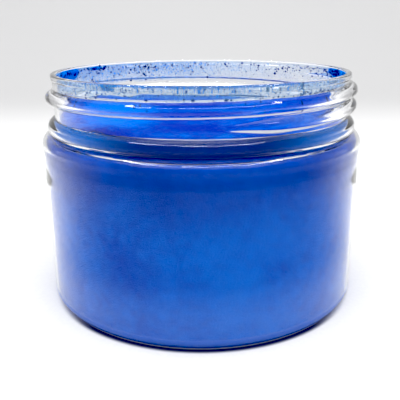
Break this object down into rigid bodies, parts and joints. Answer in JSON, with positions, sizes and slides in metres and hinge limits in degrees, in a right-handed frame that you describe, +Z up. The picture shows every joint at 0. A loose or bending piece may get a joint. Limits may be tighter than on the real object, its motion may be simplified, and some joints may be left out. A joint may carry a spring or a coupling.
{
  "type": "pigment jar",
  "caption": "Open, clear, wide-mouth plastic jar with a round screw thread, filled to the neck with dry blue pigment powder.",
  "frame": {"origin": "middle of the circle that the jar stands on", "axes": "+Z up along the jar's axis, out of its mouth; -Y is the jar's front, where the lower end of the thread is; +X is to the right seen from the front"},
  "size_m": [0.0926, 0.0924, 0.0646],
  "materials": {
    "clear_plastic": "gloss",
    "blue_pigment": "matte",
    "caked_pigment": "matte"
  },
  "bodies": {
    "root": {"jar_body": "clear_plastic", "pigment_powder": "blue_pigment", "pigment_cakes": "caked_pigment"}
  },
  "joints": []
}
